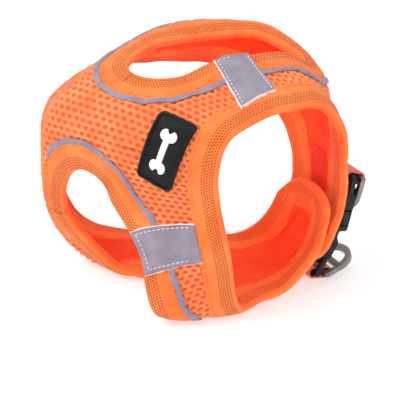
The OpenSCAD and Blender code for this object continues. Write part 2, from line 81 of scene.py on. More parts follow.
def weights(x, n):
    """Catmull-Rom weights of every control point 0..n for an array of parameters."""
    x = np.clip(np.asarray(x, float), 0, n)
    i = np.minimum(np.floor(x).astype(int), n - 1)
    f = x - i
    w = np.zeros(x.shape + (n + 3,))
    c = [0.5 * (-f + 2 * f * f - f ** 3), 0.5 * (2 - 5 * f * f + 3 * f ** 3),
         0.5 * (f + 4 * f * f - 3 * f ** 3), 0.5 * (-f * f + f ** 3)]
    for k in range(4):
        at = (i + k)[..., None]
        np.put_along_axis(w, at, np.take_along_axis(w, at, -1) + c[k][..., None], -1)
    out = w[..., 1:-1].copy()
    out[..., 0] += 2 * w[..., 0]
    out[..., 1] -= w[..., 0]
    out[..., -1] += 2 * w[..., -1]
    out[..., -2] -= w[..., -1]
    return out


def S(q):
    """Middle surface, q = (..., 2) of station and guide, in mm."""
    q = np.asarray(q, float)
    wt = weights(q[..., 0], LAST_T)
    ws = weights(q[..., 1], LAST_S)
    return np.einsum('...i,...j,ijk->...k', wt, ws, GUIDE) + HOME


def tangents(q, e=0.02):
    q = np.asarray(q, float)

    def d(k, top):
        a, b = q.copy(), q.copy()
        a[..., k] = np.clip(a[..., k] + e, 0, top)
        b[..., k] = np.clip(b[..., k] - e, 0, top)
        return (S(a) - S(b)) / (a[..., k] - b[..., k])[..., None]

    return d(0, LAST_T), d(1, LAST_S)


def unit(v):
    return v / np.maximum(np.linalg.norm(v, axis=-1, keepdims=True), 1e-9)


def normal(q):
    a, b = tangents(q)
    return unit(np.cross(a, b))


def step(q, m, w):
    """Station and guide after a straight step of w millimetres along the direction m."""
    a, b = tangents(q)
    E, F, G = (a * a).sum(-1), (a * b).sum(-1), (b * b).sum(-1)
    u, v = (m * a).sum(-1), (m * b).sum(-1)
    D = E * G - F * F
    d = np.stack([(u * G - v * F) / D, (v * E - u * F) / D], -1)
    r = np.linalg.norm(d[..., :1] * a + d[..., 1:] * b, axis=-1, keepdims=True)
    return q + d * (np.asarray(w)[..., None] / r)


def walk(q, m, w, k=4):
    for _ in range(k):
        q = step(q, m, np.asarray(w) / k)
    return q


def closed(P, x):
    """Catmull-Rom through the points of a closed outline, x counts points."""
    n = len(P)
    x = np.asarray(x, float) % n
    i = np.floor(x).astype(int)
    f = (x - i)[..., None]
    p0, p1, p2, p3 = P[(i - 1) % n], P[i % n], P[(i + 1) % n], P[(i + 2) % n]
    return 0.5 * (2 * p1 + (p2 - p0) * f + (2 * p0 - 5 * p1 + 4 * p2 - p3) * f * f
                  + (3 * p1 - p0 - 3 * p2 + p3) * f ** 3)


def outward(P, x):
    q, p = closed(P, x), closed(P, x + 0.05)
    return np.cross(unit(S(p) - S(q)), normal(q))


def ring_pt(P, x, w):
    """Point w millimetres outward from a leg hole's edge."""
    return walk(closed(P, x), outward(P, x), w)


# ---- rims, seams and panel edges on the surface ----------------------------------------
FLAP_IN, OUTER_IN = 1.3, 16.15
TAPE_W = 12.6          # width of the binding tape on each face
EDGE_W = 12.2          # where the panels meet the bindings, a little under the tape
SEWN_W = 11.2          # seam that sews the tape down
RIM_RAMP = 0.7         # stations over which a rim's inset fades out at the bound ends
SPLIT_LOWER, SPLIT_UPPER = 6.1, 10.6


def inward(t, side):
    q = np.stack([t, np.full_like(t, side)], -1)
    a, b = tangents(q)
    a = unit(a)
    return unit(b - (a * b).sum(-1, keepdims=True) * a) * (1 if side == 0 else -1)


def rim_pt(t, side, w):
    """Point w millimetres inward from the neck rim (side 0) or the rear rim (side 4)."""
    t, w = np.broadcast_arrays(np.asarray(t, float), np.asarray(w, float))
    q = np.stack([t, np.full_like(t, side)], -1)
    p = walk(q, inward(t, side), w)
    ramp = np.clip(np.minimum(t - FLAP_IN, OUTER_IN - t) / RIM_RAMP, 0, 1)
    return np.stack([t + (p[..., 0] - t) * ramp, p[..., 1]], -1)


def crossing(P, t, closed_line, pick):
    """Guide values where the line P crosses each station of t; pick is min or max."""
    Q = np.roll(P, -1, 0) if closed_line else P[1:]
    A = P if closed_line else P[:-1]
    out = np.full(len(t), np.nan)
    for i, x in enumerate(t):
        hit = ((A[:, 0] - x) * (Q[:, 0] - x) <= 0) & (A[:, 0] != Q[:, 0])
        if hit.any():
            a, b = A[hit], Q[hit]
            out[i] = pick(a[:, 1] + (b[:, 1] - a[:, 1]) * (x - a[:, 0]) / (b[:, 0] - a[:, 0]))
    return out


EDGE_UPPER = ring_pt(HOLE_UPPER, np.arange(0, 14, 1 / 16), EDGE_W)
EDGE_LOWER = ring_pt(HOLE_LOWER, np.arange(0, 12, 1 / 16), EDGE_W)
RIM_T = np.linspace(FLAP_IN, OUTER_IN, 200)
EDGE_NECK = rim_pt(RIM_T, 0, EDGE_W)
EDGE_REAR = rim_pt(RIM_T, LAST_S, EDGE_W)
LO_A, LO_B = EDGE_LOWER[EDGE_LOWER[:, 0].argmin()], EDGE_LOWER[EDGE_LOWER[:, 0].argmax()]
UP_A, UP_B = EDGE_UPPER[EDGE_UPPER[:, 0].argmin()], EDGE_UPPER[EDGE_UPPER[:, 0].argmax()]


def seam(t):
    """Guide line that runs between the two leg holes and on to the bound ends."""
    return np.interp(t, [FLAP_IN, LO_A[0], LO_B[0], UP_A[0], UP_B[0], OUTER_IN],
                     [2, LO_A[1], LO_B[1], UP_A[1], UP_B[1], 1.9])


def hole_edges(t, pick):
    """Guide value where the panels end at each station: a leg hole's tape, or the seam."""
    out = seam(t)
    for P, a, b in ((EDGE_LOWER, LO_A, LO_B), (EDGE_UPPER, UP_A, UP_B)):
        inside = (t > a[0] + 0.001) & (t < b[0] - 0.001)
        out = np.where(inside, crossing(P, t, True, pick), out)
    return out


# ---- cloth displacement ------------------------------------------------------------------
def ripple(P, wavelength, seed, n=9):
    """Smooth seeded undulation of unit order over points in space."""
    r = np.random.default_rng(seed)
    k = unit(r.normal(size=(n, 3))) * TAU / (wavelength * r.uniform(0.7, 1.5, (n, 1)))
    return np.sin(P @ k.T + r.uniform(0, TAU, n)).sum(-1) / math.sqrt(n)


def smooth(a, b, x):
    f = np.clip((x - a) / (b - a), 0, 1)
    return f * f * (3 - 2 * f)


def surf(q, h):
    """Point h above the middle surface, with the slight undulation that all the cloth shares."""
    base = S(q)
    lift = 0.22 * ripple(base, 30, 3) + 0.1 * ripple(base, 11, 5)
    return base + normal(q) * (np.asarray(h) + lift)[..., None]


# ---- flat coordinates of the shell, so that weave and holes keep their real size ---------
FLAT_T, FLAT_S = 89, 14   # cells of the flattened grid
FLAT_PASSES = 40


def flatten():
    """As-rigid-as-possible flattening of the shell: local turns and a global solve in turn."""
    ts, ss = np.linspace(0, LAST_T, FLAT_T + 1), np.linspace(0, LAST_S, FLAT_S + 1)
    T, G = np.meshgrid(ts, ss, indexing="ij")
    P = S(np.stack([T, G], -1)).reshape(-1, 3)
    nt, ns = T.shape
    I, J = np.meshgrid(np.arange(nt - 1), np.arange(ns - 1), indexing="ij")
    a, b, c, d = I * ns + J, (I + 1) * ns + J, (I + 1) * ns + J + 1, I * ns + J + 1
    F = np.concatenate([np.stack([a, b, c], -1).reshape(-1, 3), np.stack([a, c, d], -1).reshape(-1, 3)])
    e1, e2 = P[F[:, 1]] - P[F[:, 0]], P[F[:, 2]] - P[F[:, 0]]
    l1 = np.linalg.norm(e1, axis=1)
    x2 = (e1 * e2).sum(1) / l1
    y2 = np.sqrt(np.maximum((e2 * e2).sum(1) - x2 * x2, 1e-9))
    X = np.zeros((len(F), 3, 2))
    X[:, 1, 0], X[:, 2, 0], X[:, 2, 1] = l1, x2, y2
    cot = np.zeros((len(F), 3))
    for k in range(3):
        u, v = X[:, (k + 1) % 3] - X[:, k], X[:, (k + 2) % 3] - X[:, k]
        cross = u[:, 0] * v[:, 1] - u[:, 1] * v[:, 0]
        cot[:, (k + 1) % 3] = np.clip((u * v).sum(1) / cross, 0.02, 8)
    N = len(P)
    L = np.zeros((N, N))
    for k in range(3):
        i, j = F[:, k], F[:, (k + 1) % 3]
        w = cot[:, k]
        np.add.at(L, (i, i), w)
        np.add.at(L, (j, j), w)
        np.add.at(L, (i, j), -w)
        np.add.at(L, (j, i), -w)
    L[0, 0] += 1.0
    solver = np.linalg.inv(L)
    mid = np.linalg.norm(np.diff(S(np.stack([ts, ts * 0 + 2], -1)), axis=0), axis=1)
    across = np.linalg.norm(np.diff(S(np.stack([ss * 0 + 8.5, ss], -1)), axis=0), axis=1)
    U = np.stack(np.meshgrid(np.r_[0, mid.cumsum()], np.r_[0, across.cumsum()], indexing="ij"), -1)
    U = U.reshape(-1, 2)
    for _ in range(FLAT_PASSES):
        ca = np.zeros(len(F))
        sa = np.zeros(len(F))
        for k in range(3):
            du = U[F[:, k]] - U[F[:, (k + 1) % 3]]
            dx = X[:, k] - X[:, (k + 1) % 3]
            ca += cot[:, k] * (du * dx).sum(1)
            sa += cot[:, k] * (du[:, 1] * dx[:, 0] - du[:, 0] * dx[:, 1])
        r = np.maximum(np.hypot(ca, sa), 1e-9)
        ca, sa = ca / r, sa / r
        B = np.zeros((N, 2))
        for k in range(3):
            dx = X[:, k] - X[:, (k + 1) % 3]
            rot = np.stack([ca * dx[:, 0] - sa * dx[:, 1], sa * dx[:, 0] + ca * dx[:, 1]], -1)
            rot *= cot[:, k][:, None]
            np.add.at(B, F[:, k], rot)
            np.add.at(B, F[:, (k + 1) % 3], -rot)
        U = solver @ B
    return U.reshape(nt, ns, 2)


FLAT = flatten()


def flat_uv(q):
    """Flat-pattern position of (station, guide), in millimetres."""
    x = np.clip(q[..., 0] / LAST_T * FLAT_T, 0, FLAT_T - 0.001)
    y = np.clip(q[..., 1] / LAST_S * FLAT_S, 0, FLAT_S - 0.001)
    i, j = x.astype(int), y.astype(int)
    fx, fy = (x - i)[..., None], (y - j)[..., None]
    return ((FLAT[i, j] * (1 - fx) + FLAT[i + 1, j] * fx) * (1 - fy)
            + (FLAT[i, j + 1] * (1 - fx) + FLAT[i + 1, j + 1] * fx) * fy)


# ---- mesh building -------------------------------------------------------------------------
def piece(name, V, faces, material, replaced=(), slot=None, uv=None, body="vest", sharp=40):
    """Makes an object from millimetre points; uv is one pair a point, in millimetres."""
    me = bpy.data.meshes.new(name)
    me.from_pydata((np.asarray(V) * MM).tolist(), [], [list(map(int, f)) for f in faces])
    if uv is not None:
        idx = np.empty(len(me.loops), int)
        me.loops.foreach_get("vertex_index", idx)
        me.uv_layers.new(name="UVMap").data.foreach_set("uv", (np.asarray(uv)[idx] * (1 / UV_SCALE)).ravel())
    bm = bmesh.new()
    bm.from_mesh(me)
    bmesh.ops.recalc_face_normals(bm, faces=bm.faces)
    bm.to_mesh(me)
    bm.free()
    me.polygons.foreach_set("use_smooth", [True] * len(me.polygons))
    me.set_sharp_from_angle(angle=math.radians(sharp))
    me.materials.append(material)
    ob = bpy.data.objects.new(name, me)
    bpy.context.scene.collection.objects.link(ob)
    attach(ob, body)
    if replaced:
        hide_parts(*replaced)
    return ob


def cells(n, m, wrap_n=False, wrap_m=False):
    """Quads of an n by m grid of points, closed round either way on request."""
    I, J = np.meshgrid(np.arange(n if wrap_n else n - 1), np.arange(m if wrap_m else m - 1), indexing="ij")
    I2, J2 = (I + 1) % n, (J + 1) % m
    return np.stack([I * m + J, I2 * m + J, I2 * m + J2, I * m + J2], -1).reshape(-1, 4)


def tube(P, wrap):
    """Closed skin over sections P[i, j]; open ends get a cap."""
    n, m = P.shape[:2]
    faces = cells(n, m, wrap, True).tolist()
    if not wrap:
        faces += [list(range(m)), [(n - 1) * m + j for j in range(m)]]
    return P.reshape(-1, 3), faces


def cloth(Q, low, high):
    """Closed sheet over the (station, guide) grid Q; low and high are offsets at every point."""
    n, m = Q.shape[:2]
    low, high = np.broadcast_to(low, (n, m)), np.broadcast_to(high, (n, m))
    V = np.concatenate([surf(Q, high).reshape(-1, 3), surf(Q, low).reshape(-1, 3)])
    top = cells(n, m)
    K = n * m
    rim = np.concatenate([np.arange(m), np.arange(1, n) * m + m - 1,
                          (n - 1) * m + np.arange(m - 2, -1, -1), np.arange(n - 2, 0, -1) * m])
    nxt = np.roll(rim, -1)
    faces = np.concatenate([top, top[:, ::-1] + K, np.stack([rim, nxt, nxt + K, rim + K], -1)])
    return V, faces


def along_edge(P):
    """Distance along a line of points, as a column."""
    return np.r_[0, np.linalg.norm(np.diff(P, axis=0), axis=1).cumsum()]


# ---- materials -----------------------------------------------------------------------------
class Finish:
    """Principled material with a few node helpers; sockets that stay even are set here."""

    def __init__(self, name, base, rough, **even):
        self.mat = bpy.data.materials.new(name)
        self.mat.use_nodes = True
        self.tree = self.mat.node_tree
        self.out = self.tree.nodes["Principled BSDF"]
        self.out.inputs["Base Color"].default_value = (*base, 1)
        self.out.inputs["Roughness"].default_value = rough
        self.mat.diffuse_color = (*base, 1)
        for key, value in even.items():
            self.out.inputs[key.replace("_", " ")].default_value = value

    def plug(self, socket, value):
        if isinstance(value, (int, float)):
            socket.default_value = value
        elif isinstance(value, tuple):
            socket.default_value = (*value, 1) if len(value) == 3 and socket.type == "RGBA" else value
        else:
            self.tree.links.new(value, socket)

    def math(self, op, *args, clamp=False):
        node = self.tree.nodes.new("ShaderNodeMath")
        node.operation, node.use_clamp = op, clamp
        for k, v in enumerate(args):
            self.plug(node.inputs[k], v)
        return node.outputs[0]

    def uv(self):
        """Flat position in millimetres as two sockets."""
        node = self.tree.nodes.new("ShaderNodeUVMap")
        node.uv_map = "UVMap"
        split = self.tree.nodes.new("ShaderNodeSeparateXYZ")
        self.plug(split.inputs[0], node.outputs[0])
        return tuple(self.math("MULTIPLY", split.outputs[k], UV_SCALE) for k in (0, 1))

    def noise(self, scale, detail=3, rough=0.5):
        """Noise over the object's own space, scale in cycles a metre."""
        co = self.tree.nodes.new("ShaderNodeTexCoord")
        node = self.tree.nodes.new("ShaderNodeTexNoise")
        node.inputs["Scale"].default_value = scale
        node.inputs["Detail"].default_value = detail
        node.inputs["Roughness"].default_value = rough
        self.plug(node.inputs["Vector"], co.outputs["Object"])
        return node.outputs["Fac"]

    def band(self, x, lo, hi, soft):
        """One inside lo..hi, zero outside, soft at both ends."""
        a = self.remap(x, lo - soft, lo + soft)
        b = self.remap(x, hi - soft, hi + soft)
        return self.math("SUBTRACT", a, b, clamp=True)

    def remap(self, x, a, b, c=0.0, d=1.0):
        node = self.tree.nodes.new("ShaderNodeMapRange")
        node.interpolation_type = "SMOOTHSTEP"
        for k, v in zip(("Value", "From Min", "From Max", "To Min", "To Max"), (x, a, b, c, d)):
            self.plug(node.inputs[k], v)
        return node.outputs[0]

    def dots(self, x, y, px, py, rx, ry):
        """Staggered oval dots; one at each centre, zero outside."""
        row = self.math("FLOOR", self.math("DIVIDE", y, py))
        odd = self.math("MULTIPLY", self.math("PINGPONG", row, 1.0), 0.5)
        fx = self.math("SUBTRACT", self.math("FRACT", self.math("ADD", self.math("DIVIDE", x, px), odd)), 0.5)
        fy = self.math("SUBTRACT", self.math("FRACT", self.math("DIVIDE", y, py)), 0.5)
        ex, ey = self.math("MULTIPLY", fx, px / rx), self.math("MULTIPLY", fy, py / ry)
        d = self.math("SQRT", self.math("ADD", self.math("MULTIPLY", ex, ex), self.math("MULTIPLY", ey, ey)))
        return self.remap(d, 0.7, 1.2, 1.0, 0.0)

    def mix(self, fac, a, b):
        node = self.tree.nodes.new("ShaderNodeMix")
        node.data_type = "RGBA"
        for k, v in ((0, fac), (6, a), (7, b)):
            self.plug(node.inputs[k], v)
        return node.outputs[2]

    def color(self, value):
        self.plug(self.out.inputs["Base Color"], value)

    def bump(self, height, depth, after=None):
        node = self.tree.nodes.new("ShaderNodeBump")
        node.inputs["Strength"].default_value = 1.0
        node.inputs["Distance"].default_value = depth
        self.plug(node.inputs["Height"], height)
        if after is not None:
            self.plug(node.inputs["Normal"], after)
        return node.outputs[0]

    def normal(self, value):
        self.plug(self.out.inputs["Normal"], value)


HOLE_P, HOLE_Q, HOLE_RX, HOLE_RY = 3.7, 2.5, 1.25, 0.78   # air-mesh hole pitches and radii


def mesh_finish():
    # The faint orange emission is a painted glow that brightens the mesh as extra light would.
    f = Finish("air_mesh_orange", (0.95, 0.2, 0.05), 0.78, Sheen_Weight=0.12, Sheen_Roughness=0.5,
               Specular_IOR_Level=0.2, Emission_Strength=0.05, Emission_Color=(1, 0.35, 0.15, 1))
    u, v = f.uv()
    hole = f.dots(v, u, HOLE_P, HOLE_Q, HOLE_RX, HOLE_RY)
    tone = f.remap(f.noise(90), 0.3, 0.7)
    base = f.mix(tone, (0.93, 0.21, 0.065), (0.98, 0.31, 0.12))
    # The darker red in the holes is painted shade inside them, partly standing for the redder lining seen
    # through.
    f.color(f.mix(hole, base, (0.85, 0.13, 0.04)))
    knit = f.math("MULTIPLY", f.math("SINE", f.math("MULTIPLY", u, TAU / 0.62)),
                  f.math("SINE", f.math("MULTIPLY", v, TAU / 0.62)))
    n = f.bump(knit, 0.00008)
    f.normal(f.bump(f.noise(900, 2), 0.0003, n))
    return f.mat


# The last argument gives a painted glow, standing in for light on the vest's shaded inside.
def binding_finish(name, dark, light, fleck_tone, painted_hole_shade, glow=0.0):
    f = Finish(name, light, 0.72, Sheen_Weight=0.12, Sheen_Roughness=0.45, Specular_IOR_Level=0.2,
               Emission_Strength=glow, Emission_Color=(1, 0.25, 0.06, 1))
    u, v = f.uv()
    rows = f.math("MULTIPLY", f.dots(u, v, 1.4, 1.15, 0.44, 0.38), f.band(v, 1.3, 6.6, 0.3))
    rib = f.math("MULTIPLY", f.math("SINE", f.math("MULTIPLY", v, TAU / 0.75)), 0.5)
    knit = f.math("SINE", f.math("MULTIPLY", u, TAU / 0.7))
    weave = f.math("ADD", f.math("MULTIPLY", knit, 0.35), rib)
    tone = f.remap(f.noise(70), 0.32, 0.68)
    fleck = f.remap(f.noise(420, 4, 0.6), 0.56, 0.7)
    base = f.mix(tone, dark, light)
    base = f.mix(f.math("MULTIPLY", fleck, 0.5), base, fleck_tone)
    # The perforation rows are painted a darker tone: painted shade in the holes.
    base = f.mix(f.math("MULTIPLY", rows, 0.9), base, painted_hole_shade)
    f.color(base)
    n = f.bump(weave, 0.00007)
    n = f.bump(f.math("MULTIPLY", rows, -1.0), 0.0003, n)
    f.normal(f.bump(f.noise(700, 2), 0.0003, n))
    return f.mat


def lining_finish():
    # The lining's red-orange emission is a painted glow that lightens the shaded inside of the vest.
    f = Finish("lining_red_orange", (0.95, 0.075, 0.012), 0.8, Sheen_Weight=0.12,
               Sheen_Roughness=0.4, Specular_IOR_Level=0.2, Emission_Strength=0.1,
               Emission_Color=(1, 0.1, 0.02, 1))
    u, v = f.uv()
    tone = f.remap(f.noise(60), 0.3, 0.7)
    f.color(f.mix(tone, (0.93, 0.05, 0.008), (0.96, 0.085, 0.015)))
    knit = f.math("MULTIPLY", f.math("SINE", f.math("MULTIPLY", u, TAU / 0.9)),
                  f.math("SINE", f.math("MULTIPLY", v, TAU / 0.6)))
    n = f.bump(knit, 0.00006)
    f.normal(f.bump(f.noise(350, 3), 0.0005, n))
    return f.mat


def tape_finish(name, dark, light, edge):
    """Grey reflective cloth: fine twill, soft creases, pale cut edges where the uv v is negative."""
    f = Finish(name, light, 0.5, Specular_IOR_Level=0.5, Sheen_Weight=0.15, Sheen_Roughness=0.4)
    u, v = f.uv()
    tone = f.remap(f.noise(120, 4), 0.3, 0.7)
    base = f.mix(tone, dark, light)
    f.color(f.mix(f.remap(v, -0.2, -0.8), base, edge))
    twill = f.math("SINE", f.math("MULTIPLY", f.math("ADD", u, v), TAU / 0.55))
    n = f.bump(twill, 0.00004)
    f.normal(f.bump(f.noise(260, 3), 0.0006, n))
    f.plug(f.out.inputs["Roughness"], f.remap(f.noise(500), 0.3, 0.7, 0.42, 0.62))
    return f.mat


def thread_finish(name, color):
    f = Finish(name, color, 0.6, Sheen_Weight=0.3, Sheen_Roughness=0.4)
    f.color(f.mix(f.noise(1500), tuple(c * 0.8 for c in color), color))
    f.normal(f.bump(f.noise(4000, 2), 0.0001))
    return f.mat


def rubber_finish(name, dark, light, rough):
    f = Finish(name, light, rough, Specular_IOR_Level=0.22)
    f.color(f.mix(f.remap(f.noise(200, 4), 0.35, 0.65), dark, light))
    f.plug(f.out.inputs["Roughness"], f.remap(f.noise(900), 0.3, 0.7, rough - 0.08, rough + 0.08))
    f.normal(f.bump(f.noise(2600, 3), 0.00008))
    return f.mat


def webbing_finish():
    f = Finish("webbing_coral", (0.9, 0.12, 0.07), 0.6, Sheen_Weight=0.3, Sheen_Roughness=0.4)
    u, v = f.uv()
    warp = f.math("SINE", f.math("MULTIPLY", v, TAU / 1.1))
    weft = f.math("SINE", f.math("MULTIPLY", f.math("ADD", u, f.math("MULTIPLY", v, 0.5)), TAU / 0.8))
    grid = f.math("MULTIPLY", warp, weft)
    f.color(f.mix(f.remap(grid, -0.6, 0.6), (0.8, 0.09, 0.05), (0.98, 0.17, 0.11)))
    n = f.bump(grid, 0.00015)
    f.normal(f.bump(f.noise(800, 2), 0.0002, n))
    return f.mat


def pile_finish(name, dark, light, pitch, depth, sheen=0.4, glow=0.0):
    """Hook or loop face: a close field of bumps, with a painted glow when one is given."""
    f = Finish(name, light, 0.85, Sheen_Weight=sheen, Sheen_Roughness=0.5,
               Emission_Strength=glow, Emission_Color=(1, 0.03, 0.01, 1))
    u, v = f.uv()
    nub = f.dots(u, v, pitch, pitch * 0.87, pitch * 0.42, pitch * 0.38)
    f.color(f.mix(f.math("MULTIPLY", nub, f.remap(f.noise(900), 0.3, 0.7)), dark, light))
    n = f.bump(nub, depth)
    f.normal(f.bump(f.noise(1800, 3), 0.0004, n))
    return f.mat


def metal_finish():
    f = Finish("ring_gunmetal", (0.3, 0.285, 0.28), 0.34, Metallic=0.9)
    worn = f.remap(f.noise(500, 4), 0.45, 0.7)
    f.color(f.mix(worn, (0.25, 0.225, 0.22), (0.34, 0.31, 0.3)))
    f.plug(f.out.inputs["Roughness"], f.remap(f.noise(300, 3), 0.3, 0.7, 0.27, 0.45))
    f.normal(f.bump(f.noise(1400, 3), 0.00003))
    return f.mat


def plastic_finish(name, tone):
    f = Finish(name, (tone, tone, tone * 1.08), 0.42, Specular_IOR_Level=0.25)
    lo, hi = tone * 0.75, tone * 1.5
    f.color(f.mix(f.remap(f.noise(300, 4), 0.4, 0.75), (lo, lo, lo * 1.1), (hi, hi, hi * 1.1)))
    f.plug(f.out.inputs["Roughness"], f.remap(f.noise(250, 4), 0.3, 0.7, 0.36, 0.55))
    f.normal(f.bump(f.noise(5000, 2), 0.00005))
    return f.mat


MESH = mesh_finish()
# Each binding's last colour is the painted shade in its perforations.
BINDING = binding_finish("binding_tape_orange", (0.9, 0.175, 0.035), (0.94, 0.245, 0.06), (0.8, 0.1, 0.015),
                         (0.42, 0.075, 0.012))
# The inward side is a darker, redder, glowing copy of the same tape: painted shade and painted glow.
BINDING_PAINTED_SHADE_GLOW = binding_finish("binding_tape_painted_shade_glow", (0.94, 0.1, 0.018), (0.97, 0.17, 0.035),
                              (0.8, 0.05, 0.01), (0.6, 0.04, 0.008), 0.1)
LINING = lining_finish()
PIPING = tape_finish("piping_grey_cloth", (0.23, 0.205, 0.29), (0.31, 0.28, 0.37), (0.6, 0.5, 0.55))
PATCH = tape_finish("patch_grey_cloth", (0.25, 0.215, 0.27), (0.33, 0.29, 0.36), (0.92, 0.72, 0.74))
THREAD = thread_finish("thread_white", (0.88, 0.85, 0.86))
SEAM = thread_finish("thread_orange", (0.93, 0.2, 0.05))
RUBBER = rubber_finish("rubber_black", (0.004, 0.004, 0.005), (0.01, 0.01, 0.011), 0.62)
EMBLEM = rubber_finish("emblem_white_rubber", (0.8, 0.8, 0.8), (0.92, 0.92, 0.92), 0.55)
WEBBING = webbing_finish()
# The hook tape's faint red emission is a painted glow.
HOOK = pile_finish("hook_tape_orange", (0.94, 0.03, 0.008), (0.98, 0.06, 0.015), 1.1, 0.0003, 0.05, 0.12)
LOOP = pile_finish("loop_tape_orange", (0.8, 0.12, 0.03), (0.98, 0.26, 0.09), 0.7, 0.0003)
METAL = metal_finish()
PLASTIC = plastic_finish("buckle_black_plastic", 0.012)
ARM_PLASTIC = plastic_finish("arm_black_plastic", 0.018)


# ---- air mesh and lining ---------------------------------------------------------------------
def hole_depth(uv):
    """One in a hole of the air mesh, with a raised lip round it."""
    row = np.floor(uv[..., 0] / HOLE_Q)
    fx = (uv[..., 1] / HOLE_P + 0.5 * np.mod(row, 2)) % 1 - 0.5
    fy = (uv[..., 0] / HOLE_Q) % 1 - 0.5
    d = np.hypot(fx * HOLE_P / HOLE_RX, fy * HOLE_Q / HOLE_RY)
    return smooth(1.15, 0.7, d), np.exp(-((d - 1.35) / 0.28) ** 2)


def panel(a, b, pitch, rows):
    """Stations and the two guide bands (strap side, girth side) as one welded point set."""
    t = np.linspace(a, b, int((b - a) * pitch))
    t = np.unique(np.r_[t, [x for x in (LO_A[0], LO_B[0], UP_A[0], UP_B[0]) if a < x < b]])
    f = np.linspace(0, 1, rows)
    bands = []
    for lo, hi in ((crossing(EDGE_NECK, t, False, np.max), hole_edges(t, np.min)),
                   (hole_edges(t, np.max), crossing(EDGE_REAR, t, False, np.min))):
        bands.append(np.stack([np.broadcast_to(t[:, None], (len(t), rows)),
                               lo[:, None] + (hi - lo)[:, None] * f], -1))
    Q = np.concatenate([x.reshape(-1, 2) for x in bands])
    top = cells(len(t), rows)
    top = np.concatenate([top, top + len(t) * rows])
    key = np.round(Q * 2e4).astype(np.int64)
    _, first, back = np.unique(key[:, 0] * 10 ** 7 + key[:, 1], return_index=True, return_inverse=True)
    return Q[first], back.ravel()[top]


def skin(Q, top, low, high):
    """Closed sheet over scattered (station, guide) points Q and quads top."""
    V = np.concatenate([surf(Q, high), surf(Q, low)])
    K = len(Q)
    edges = np.concatenate([top[:, [k, (k + 1) % 4]] for k in range(4)])
    edges = edges[edges[:, 0] != edges[:, 1]]
    code = edges.min(1) * K + edges.max(1)
    _, first, count = np.unique(code, return_index=True, return_counts=True)
    wall = edges[first[count == 1]]
    faces = []
    for face in np.concatenate([top, top[:, ::-1] + K]).tolist():
        ring = [x for k, x in enumerate(face) if x != face[k - 1]]
        if len(ring) > 2:
            faces.append(ring)
    faces += [[j, i, i + K, j + K] for i, j in wall.tolist()]
    return V, faces


MESH_LO, MESH_HI = 0.15, 1.9
LINING_LO, LINING_HI = -2.3, -0.15

for name, a, b, nodes in (
        ("mesh_chest", SPLIT_LOWER, SPLIT_UPPER, ("mesh_chest",)),
        ("mesh_wing_upper", SPLIT_UPPER, OUTER_IN, ("mesh_wing_upper", "mesh_back_upper")),
        ("mesh_wing_lower", FLAP_IN, SPLIT_LOWER, ("mesh_wing_lower", "mesh_flap"))):
    Q, top = panel(a, b, 38, 44)
    uv = flat_uv(Q)
    deep, lip = hole_depth(uv)
    high = MESH_HI - 0.95 * deep + 0.13 * lip
    V, faces = skin(Q, top, MESH_LO, high)
    ob = piece(name + "_cloth", V, faces, MESH, nodes, "mesh_orange", np.concatenate([uv, uv]))

# The lining is quilted along an oval on the flap's inner face.
Q, top = panel(FLAP_IN, OUTER_IN, 26, 30)
uv = flat_uv(Q)
crease = 0.28 * ripple(S(Q), 8, 21) + 0.3 * ripple(S(Q), 20, 22)
oval = (np.abs((Q[:, 0] - 2.35) / 0.95) ** 2.6 + np.abs((Q[:, 1] - 1.9) / 0.8) ** 2.6) ** (1 / 2.6)
quilt = np.exp(-((oval - 1) / 0.07) ** 2)
crease = crease * smooth(0.8, 1.1, oval) + 0.5 * smooth(1.05, 0.75, oval) - 0.9 * quilt
V, faces = skin(Q, top, LINING_LO - crease, LINING_HI)
piece("lining_cloth", V, faces, LINING, ("lining",), "lining_orange",
                np.concatenate([uv, uv]))


# ---- bindings --------------------------------------------------------------------------------
# Places of the tape section's points, in millimetres from the fold; they crowd at the fold
# and at the seams. BOTH_W goes from one free edge round the fold to the other.
BIND_W = np.array([12.6, 12.5, 12.2, 11.8, 11.4, 11.1, 10.8, 10.2, 9.3, 8.4, 7.5, 6.6, 5.7, 4.8, 4, 3.4,
                   3.05, 2.8, 2.5, 2.1, 1.7, 1.3, 0.9, 0.55, 0.28, 0.1, 0])
BOTH_W = np.r_[BIND_W, BIND_W[-2::-1]]
BOTH_SIDE = np.r_[np.ones(len(BIND_W)), -np.ones(len(BIND_W) - 1)]
MEASURE_AT = 13        # section point along which the tape's length is measured


def bound(w):
    """Half thickness of a bound edge: round fold, turn line near it, stitched free edge."""
    fold = np.sqrt(np.clip(1 - (1 - np.clip(w / 2.3, 0, 1)) ** 2, 0, 1))
    crown = 2.3 * fold - 0.22 * np.exp(-((w - 3) / 0.28) ** 2) - 0.28 * np.exp(-((w - SEWN_W) / 0.3) ** 2)
    return crown - 0.25 * smooth(12.1, 12.6, w)


def pucker(base, w):
    """Small gathers that the two sewn lines pull into the tape."""
    return 0.12 * ripple(base, 5, 31) + 0.14 * ripple(base, 2.6, 32) * smooth(8, SEWN_W, w)


def tape_skin(q, w, wrap):
    """Folded tape whose sections lie at w millimetres from the fold over the grid q."""
    base = S(q)
    lift = bound(w) + pucker(base, w) * smooth(0.2, 2, w)
    P = surf(q, BOTH_SIDE * lift)
    V, faces = tube(P, wrap)
    u = along_edge(P[:, MEASURE_AT])
    uv = np.stack(np.broadcast_arrays(u[:, None], w), -1)
    return V, faces, uv.reshape(-1, 2)


def turn_in(ob, cells_around, quads):
    """Gives the side that faces the dog a deeper, redder copy of the tape's colour with a glow: painted shade
    and painted glow for the vest's inside.
    """
    ob.data.materials.append(BINDING_PAINTED_SHADE_GLOW)
    index = np.zeros(len(ob.data.polygons), int)
    k = np.arange(quads) % cells_around
    index[:quads] = (k >= len(BIND_W) - 1)
    ob.data.polygons.foreach_set("material_index", index)


